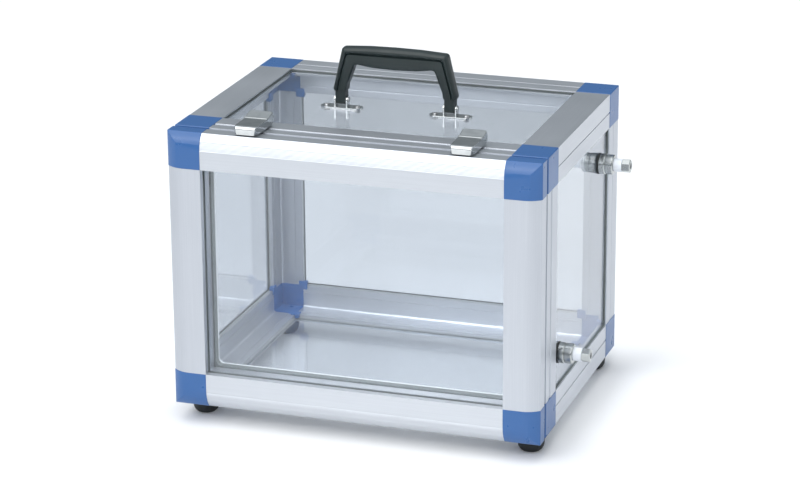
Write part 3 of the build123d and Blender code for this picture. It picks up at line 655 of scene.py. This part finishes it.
for side in ("left", "right"):
    node = f"{side}_latch_lever"
    low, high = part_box(node)
    piece = shaped(f"{side}_cover", lever_mesh(node, (low.x + high.x) / 2, (high.x - low.x) / 2))
    wall = piece.modifiers.new("wall", "SOLIDIFY")
    wall.thickness = SHEET
    wall.offset = -1
    piece = smoothed(plain_copy(piece), 60.0)
    piece.data.materials.append(chrome)
    standing(piece, f"{side}_lever", "chrome", node)
for node, body in (("latch_bases", "cabinet"), ("latch_keepers", "door")):
    rounded_copy(node, 0.25 * MM, chrome, body, "chrome")

# --- Handle saddles ---
# Pressed and plated plates with rounded ends, screwed through the top glass. Two ears on each hold the
# hinge pin on either side of the handle's tang.
for side in ("left", "right"):
    rounded_copy(f"{side}_handle_saddle", 0.6 * MM, chrome, "cabinet", "chrome", steps=3)

# --- Handle grip ---
# One black plastic moulding, shaped to the hand: a rolled upper edge, a groove below it and a flat panel
# that runs down both legs, over two flat tangs that turn on the hinge pins.
grip_low, grip_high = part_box("handle_grip")
MIDDLE = (grip_low.x + grip_high.x) / 2
HANDLE_Y = (grip_low.y + grip_high.y) / 2
GRIP_CROWN = grip_high.z


def rounded_path(points, radii, steps=7):
    """A polyline with round corners, as the same number of steps at each corner."""
    path = [Vector(points[0])]
    for before, corner, after, radius in zip(points, points[1:], points[2:], radii):
        corner = Vector(corner)
        a, b = (Vector(before) - corner), (Vector(after) - corner)
        half = a.angle(b) / 2
        back = min(radius / math.tan(half), a.length * 0.45, b.length * 0.45)
        p, q = corner + a.normalized() * back, corner + b.normalized() * back
        for i in range(steps + 1):
            t = i / steps
            path.append(p * (1 - t) ** 2 + corner * 2 * t * (1 - t) + q * t**2)
    return path + [Vector(points[-1])]


def spread(path, count):
    """The path at evenly spaced points."""
    lengths = [0.0]
    for a, b in zip(path, path[1:]):
        lengths.append(lengths[-1] + (b - a).length)
    out, at = [], 0
    for i in range(count):
        want = lengths[-1] * i / (count - 1)
        while at < len(path) - 2 and lengths[at + 1] < want:
            at += 1
        span = lengths[at + 1] - lengths[at]
        out.append(path[at].lerp(path[at + 1], 0 if span < 1e-9 else min(1, (want - lengths[at]) / span)))
    return out


# outer and inner edge of the left half, in millimetres from the middle and down from the crown
OUTER = [(-67.4, -49.0), (-68.0, -46.5), (-67.0, -43.0), (-57.6, -2.2), (-28.0, -0.4), (0.0, 0.0)]
INNER = [(-53.2, -49.0), (-52.6, -46.5), (-52.2, -43.0), (-43.4, -19.6), (-24.0, -22.2), (0.0, -23.0)]


def edge_points(corners, radii):
    """Evenly spaced points along one edge of the grip, from the left foot to the right foot."""
    points = spread(rounded_path(corners[:5], radii), 46)[:-1]
    points += spread([Vector(corners[4]), Vector(corners[5])], 14)
    return points + [Vector((-p.x, p.y)) for p in reversed(points[:-1])]


outer = edge_points(OUTER, (0.8, 4, 3.6))
inner = edge_points(INNER, (0.8, 4, 4.5))
# share of the way from the outer to the inner edge, and half thickness there
SECTION = [(0.0, 2.6), (0.015, 4.2), (0.05, 6.0), (0.11, 7.4), (0.19, 8.0), (0.27, 7.7), (0.32, 6.8)]
SECTION += [(0.345, 5.7)]
SECTION += [(0.365, 5.4), (0.385, 5.9), (0.41, 6.9), (0.46, 7.1), (0.7, 7.2), (0.9, 7.0), (0.955, 6.4)]
SECTION += [(0.985, 5.2), (1.0, 3.4)]
loop = [(f, -h) for f, h in SECTION] + [(f, h) for f, h in reversed(SECTION)]

grip_mesh = bpy.data.meshes.new("grip")
work = bmesh.new()
rings = []
for o, i in zip(outer, inner):
    ring = []
    for share, depth in loop:
        p = o.lerp(i, share)
        ring.append(work.verts.new((MIDDLE + p.x * MM, HANDLE_Y + depth * MM, GRIP_CROWN + p.y * MM)))
    rings.append(ring)
for a, b in zip(rings, rings[1:]):
    for i in range(len(loop)):
        j = (i + 1) % len(loop)
        work.faces.new((a[i], a[j], b[j], b[i]))
work.faces.new(list(reversed(rings[0])))
work.faces.new(rings[-1])
bmesh.ops.recalc_face_normals(work, faces=work.faces)
work.to_mesh(grip_mesh)
work.free()
grip = shaped("grip_body", grip_mesh)
smoothed(grip, 50.0)

HINGE_Z = grip_low.z + 5 * MM
TANG_WIDTH = 11
tang_side = [(5 * math.cos(math.radians(a)), 5 * math.sin(math.radians(a))) for a in range(180, 361, 12)]
tang_side += [(5.0, 15.0), (-5.0, 15.0)]
tangs = []
for x in (-60.0, 60.0):
    values = {"Length": TANG_WIDTH * MM, "Corner Radius": 0.2 * MM, "Turn": (math.pi / 2, 0, math.pi / 2)}
    values["Place"] = (MIDDLE + (x - TANG_WIDTH / 2) * MM, HANDLE_Y, HINGE_Z)
    tang = grown(f"tang_{'left' if x < 0 else 'right'}", outline_mesh("tang", tang_side), extruded, values)
    tangs.append(smoothed(tang))
BLACK_TONES = ((0.007, 0.016, 0.017), (0.012, 0.022, 0.023))
black = moulded("black_handle_plastic", *BLACK_TONES, (0.36, 0.48), 2600.0, 0.25)
for piece in (grip, *tangs):
    piece.data.materials.clear()
    piece.data.materials.append(black)
    standing(piece, "handle", "black_plastic", "handle_grip")

# --- Screws and rivets ---
# Round-headed steel screws with a cross recess hold the saddles and latch bases, and plain domed rivets
# hold the keepers.


def screw_mesh(name, radius, height, shank):
    """A domed head with a cross recess on a plain shank, head up, seated at local zero."""
    dome = [(0, -shank), (1.5, -shank), (1.5, 0), (radius, 0), (radius, height * 0.35)]
    dome += [(radius * 0.88, height * 0.75), (radius * 0.62, height * 0.95), (radius * 0.3, height), (0, height)]
    head = shaped(name, turned(name, dome, 28))
    cross = bpy.data.meshes.new("cross")
    work = bmesh.new()
    for size in ((0.95, 0.22), (0.22, 0.95)):
        across = [radius * share * MM * 1.1 for share in size]
        shape = Matrix.Diagonal((*across, height * MM, 1))
        bmesh.ops.create_cube(work, size=1.0, matrix=Matrix.Translation((0, 0, height * MM)) @ shape)
    work.to_mesh(cross)
    work.free()
    cutter = shaped("cross", cross)
    cut = head.modifiers.new("recess", "BOOLEAN")
    cut.object = cutter
    cut.solver = "EXACT"
    cut.use_self = True
    mesh = plain_copy(head).data
    bpy.data.objects.remove(head)
    bpy.data.objects.remove(cutter)
    return mesh


HINGES = (MIDDLE - 60 * MM, MIDDLE + 60 * MM)
plate_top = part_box("left_handle_saddle")[0].z + 1.5 * MM
spots = [(x + aside * MM, HANDLE_Y, plate_top) for x in HINGES for aside in (-17, 17)]
screws = in_place("saddle_screws", screw_mesh("saddle_screw", 2.8, 1.6, 9.0), spots, steel, most_turn=3.1, seed=5)
standing(screws, "cabinet", "steel", "top_screws")
LATCHES = [sum(c.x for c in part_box(f"{side}_latch_lever")) / 2 for side in ("left", "right")]
spots = [(x + aside * MM, BODY + 18 * MM, TOP + SHEET) for x in LATCHES for aside in (-6.5, 6.5)]
screws = in_place("base_screws", screw_mesh("base_screw", 2.5, 1.2, 4.0), spots, steel, most_turn=3.1, seed=8)
standing(screws, "cabinet", "steel", "top_screws")
rivet = [(0, -4.9), (1.2, -4.9), (1.2, 0), (2.2, 0), (2.1, 0.4), (1.5, 0.75), (0.7, 0.9), (0, 0.9)]
spots = [(x + aside * MM, FRONT + 20 * MM, TOP + 0.8 * MM) for x in LATCHES for aside in (-6, 6)]
rivets = in_place("keeper_rivet_set", turned("rivet", rivet, 20), spots, steel)
standing(rivets, "door", "steel", "keeper_rivets")

# --- Gas ports ---
# Plated brass fittings through the right glass: a washer and body outside, a locknut inside, a white
# plastic collar for the tube and a plated end nut.
nickel = streaked_metal("satin_nickel", (1, 1, 1), (0.40, 0.42, 0.42), (0.48, 0.50, 0.50), (0.18, 0.26), 120.0)
for node, body in (
    ("lower_port_body", "cabinet"),
    ("upper_port_body", "cabinet"),
    ("lower_port_nut", "lower_nut"),
    ("upper_port_nut", "upper_nut"),
    ("port_locknuts", "cabinet"),
):
    rounded_copy(node, 0.35 * MM, nickel, body, "chrome")
white = moulded("white_collar_plastic", (0.80, 0.84, 0.90), (0.88, 0.91, 0.95), (0.3, 0.4), 1200.0, 0.1)
rounded_copy("port_collars", 0.5 * MM, white, "cabinet", "white_plastic")
